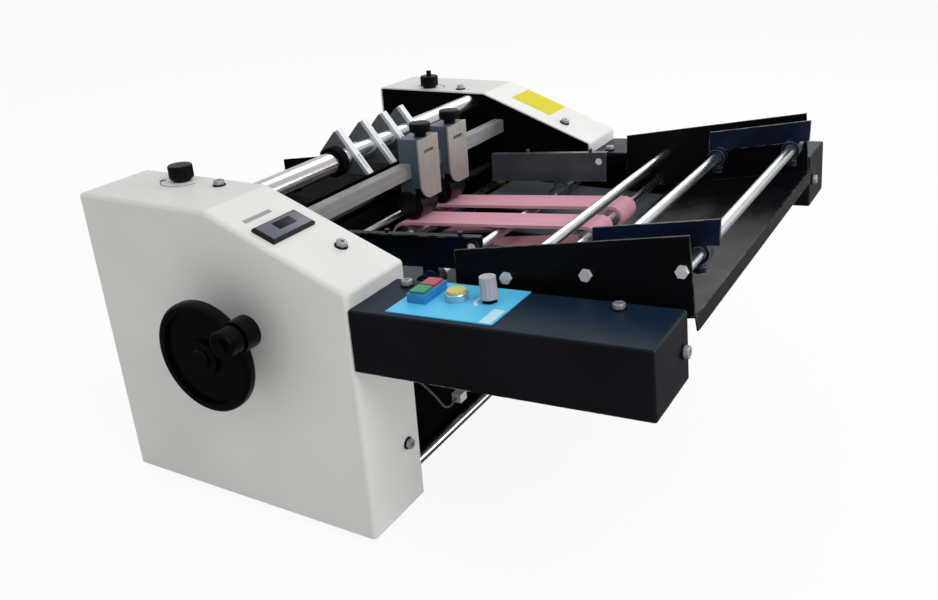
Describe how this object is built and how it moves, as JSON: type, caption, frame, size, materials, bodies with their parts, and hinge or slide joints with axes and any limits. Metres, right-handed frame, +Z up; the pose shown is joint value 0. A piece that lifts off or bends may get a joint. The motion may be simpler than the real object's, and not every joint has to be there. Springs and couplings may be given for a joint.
{
  "type": "desktop paper creasing machine",
  "caption": "Desktop paper creasing machine: side cabinets, slanted feed tray on bright rods, feed belts, separator gates, crease shafts, control box and handwheel.",
  "frame": {"origin": "centre of the bounding box at floor level", "axes": "+X towards the feed tray, +Y from the handwheel side to the far cabinet, +Z up"},
  "size_m": [0.5408, 0.6056, 0.3058],
  "materials": {
    "white_paint": "satin powder coat",
    "black_paint": "satin powder coat",
    "blue_grey_paint": "satin powder coat",
    "bright_bar": "polished hard chrome",
    "ground_steel": "ground",
    "zinc_steel": "zinc plated",
    "spring_steel": "drawn wire",
    "arm_aluminium": "milled",
    "bush_bronze": "machined",
    "black_plastic": "fine grain",
    "gloss_black": "polished phenolic",
    "grey_plastic": "moulded",
    "white_plastic": "moulded",
    "panel_blue": "printed sheet",
    "housing_blue": "moulded",
    "button_green": "moulded",
    "button_red": "moulded",
    "button_yellow": "moulded",
    "belt_pink": "matt",
    "black_rubber": "matt",
    "motor_grey": "satin"
  },
  "bodies": {
    "frame": {"near_side_cover": "white_paint", "far_side_cover": "white_paint", "near_side_plate": "black_paint", "far_side_plate": "black_paint", "upper_tie_shaft": "bright_bar", "gate_bar": "ground_steel", "tie_rods": "bright_bar", "rod_bolts": "zinc_steel", "cover_screws": "zinc_steel", "feet": "black_rubber", "front_apron": "black_paint", "paper_bridge": "black_paint", "feed_table": "black_paint", "tray_floor": "black_paint", "tray_side_plates": "black_paint", "tray_rods": "bright_bar", "bearings": "bush_bronze", "pressure_blocks": "arm_aluminium", "pressure_springs": "spring_steel", "feed_belts": "belt_pink", "near_control_box": "black_paint", "far_control_box": "black_paint", "control_panel": "panel_blue", "button_housings": "housing_blue", "counter_case": "black_plastic", "motor": "motor_grey", "timing_belts": "black_rubber", "power_inlet": "black_plastic", "sensor_bracket": "black_paint", "loom_plug": "white_plastic", "loom_lead": "black_rubber"},
    "feed_drive": {"feed_shaft": "ground_steel", "handwheel": "gloss_black"},
    "crank_handle_body": {"crank_handle": "gloss_black"},
    "lower_crease": {"lower_crease_shaft": "ground_steel", "lower_crease_gear": "ground_steel"},
    "upper_crease": {"upper_crease_shaft": "ground_steel", "upper_crease_gear": "ground_steel"},
    "idler": {"belt_idler": "ground_steel"},
    "motor_rotor": {"motor_pulley": "arm_aluminium"},
    "near_pressure": {"near_pressure_knob": "black_plastic"},
    "far_pressure": {"far_pressure_knob": "black_plastic"},
    "near_gate": {"near_gate_carriage": "blue_grey_paint"},
    "far_gate": {"far_gate_carriage": "blue_grey_paint"},
    "near_gate_screw": {"near_gate_knob": "black_plastic"},
    "far_gate_screw": {"far_gate_knob": "black_plastic"},
    "near_gate_blade": {"near_gate_plate": "ground_steel"},
    "far_gate_blade": {"far_gate_plate": "ground_steel"},
    "near_front": {"near_front_guide": "black_paint"},
    "far_front": {"far_front_guide": "black_paint"},
    "near_tray": {"near_tray_guide": "black_paint"},
    "far_tray": {"far_tray_guide": "black_paint"},
    "arm_1": {"hold_down_arm_1": "arm_aluminium"},
    "arm_2": {"hold_down_arm_2": "arm_aluminium"},
    "arm_3": {"hold_down_arm_3": "arm_aluminium"},
    "arm_4": {"hold_down_arm_4": "arm_aluminium"},
    "start_button": {"green_button": "button_green"},
    "stop_button": {"red_button": "button_red"},
    "count_button": {"yellow_button": "button_yellow"},
    "speed_control": {"speed_knob": "grey_plastic"}
  },
  "joints": [
    {"name": "feed_shaft_spin", "type": "hinge", "parent": "frame", "child": "feed_drive", "pos_m": [-0.10115, 0.0303, 0.1743], "axis": [0, 1, 0], "continuous": true},
    {"name": "crank_handle_spin", "type": "hinge", "parent": "feed_drive", "child": "crank_handle_body", "pos_m": [-0.05922, -0.2892, 0.20153], "axis": [0, 1, 0], "continuous": true},
    {"name": "lower_crease_spin", "type": "hinge", "parent": "frame", "child": "lower_crease", "pos_m": [-0.20065, 0.0303, 0.17], "axis": [0, 1, 0], "continuous": true},
    {"name": "upper_crease_spin", "type": "hinge", "parent": "frame", "child": "upper_crease", "pos_m": [-0.20065, 0.0303, 0.206], "axis": [0, 1, 0], "continuous": true},
    {"name": "idler_spin", "type": "hinge", "parent": "frame", "child": "idler", "pos_m": [0.10635, 0.0303, 0.2007], "axis": [0, 1, 0], "continuous": true},
    {"name": "motor_spin", "type": "hinge", "parent": "frame", "child": "motor_rotor", "pos_m": [-0.06065, 0.2408, 0.089], "axis": [0, 1, 0], "continuous": true},
    {"name": "near_pressure_turn", "type": "hinge", "parent": "frame", "child": "near_pressure", "pos_m": [-0.20065, -0.1802, 0.285], "axis": [0, 0, 1], "range_deg": [-720, 720]},
    {"name": "far_pressure_turn", "type": "hinge", "parent": "frame", "child": "far_pressure", "pos_m": [-0.20065, 0.2408, 0.285], "axis": [0, 0, 1], "range_deg": [-720, 720]},
    {"name": "near_gate_slide", "type": "slide", "parent": "frame", "child": "near_gate", "axis": [0, 1, 0], "range_m": [-0.06, 0.008]},
    {"name": "far_gate_slide", "type": "slide", "parent": "frame", "child": "far_gate", "axis": [0, 1, 0], "range_m": [-0.008, 0.06]},
    {"name": "near_gate_knob_turn", "type": "hinge", "parent": "near_gate", "child": "near_gate_screw", "pos_m": [-0.08765, 0.0408, 0.28], "axis": [0, 0, 1], "range_deg": [-1440, 1440]},
    {"name": "near_gate_plate_lift", "type": "slide", "parent": "near_gate", "child": "near_gate_blade", "axis": [0, 0, 1], "range_m": [-0.004, 0.004]},
    {"name": "far_gate_knob_turn", "type": "hinge", "parent": "far_gate", "child": "far_gate_screw", "pos_m": [-0.08765, 0.0998, 0.28], "axis": [0, 0, 1], "range_deg": [-1440, 1440]},
    {"name": "far_gate_plate_lift", "type": "slide", "parent": "far_gate", "child": "far_gate_blade", "axis": [0, 0, 1], "range_m": [-0.004, 0.004]},
    {"name": "near_front_guide_slide", "type": "slide", "parent": "frame", "child": "near_front", "axis": [0, 1, 0], "range_m": [-0.035, 0.1]},
    {"name": "far_front_guide_slide", "type": "slide", "parent": "frame", "child": "far_front", "axis": [0, 1, 0], "range_m": [-0.033, 0.035]},
    {"name": "near_tray_guide_slide", "type": "slide", "parent": "frame", "child": "near_tray", "axis": [0, 1, 0], "range_m": [-0.03, 0.1]},
    {"name": "far_tray_guide_slide", "type": "slide", "parent": "frame", "child": "far_tray", "axis": [0, 1, 0], "range_m": [-0.1, 0.03]},
    {"name": "hold_down_arm_1_tip", "type": "hinge", "parent": "frame", "child": "arm_1", "pos_m": [-0.13565, -0.0232, 0.271], "axis": [0, 1, 0], "range_deg": [0, 35]},
    {"name": "hold_down_arm_2_tip", "type": "hinge", "parent": "frame", "child": "arm_2", "pos_m": [-0.13565, 0.0188, 0.271], "axis": [0, 1, 0], "range_deg": [0, 35]},
    {"name": "hold_down_arm_3_tip", "type": "hinge", "parent": "frame", "child": "arm_3", "pos_m": [-0.13565, 0.0548, 0.271], "axis": [0, 1, 0], "range_deg": [0, 35]},
    {"name": "hold_down_arm_4_tip", "type": "hinge", "parent": "frame", "child": "arm_4", "pos_m": [-0.13565, 0.0868, 0.271], "axis": [0, 1, 0], "range_deg": [0, 35]},
    {"name": "green_button_press", "type": "slide", "parent": "frame", "child": "start_button", "axis": [0.0593, 0, -0.9982], "range_m": [0, 0.0025], "stiffness_N_per_m": 300, "springref_m": -0.002},
    {"name": "red_button_press", "type": "slide", "parent": "frame", "child": "stop_button", "axis": [0.0593, 0, -0.9982], "range_m": [0, 0.0025], "stiffness_N_per_m": 300, "springref_m": -0.002},
    {"name": "yellow_button_press", "type": "slide", "parent": "frame", "child": "count_button", "axis": [0.0593, 0, -0.9982], "range_m": [0, 0.0025], "stiffness_N_per_m": 300, "springref_m": -0.002},
    {"name": "speed_knob_turn", "type": "hinge", "parent": "frame", "child": "speed_control", "pos_m": [0.12199, -0.1992, 0.22827], "axis": [-0.0593, 0, 0.9982], "range_deg": [-135, 135]}
  ],
  "couplings": [
    {"joint": "lower_crease_spin", "follows": "feed_shaft_spin", "ratio": 1},
    {"joint": "upper_crease_spin", "follows": "feed_shaft_spin", "ratio": -1},
    {"joint": "idler_spin", "follows": "feed_shaft_spin", "ratio": 1.7229},
    {"joint": "motor_spin", "follows": "feed_shaft_spin", "ratio": 1.4425},
    {"joint": "near_gate_knob_turn", "follows": "near_gate_plate_lift", "rad_per_m": 6283},
    {"joint": "far_gate_knob_turn", "follows": "far_gate_plate_lift", "rad_per_m": 6283}
  ]
}
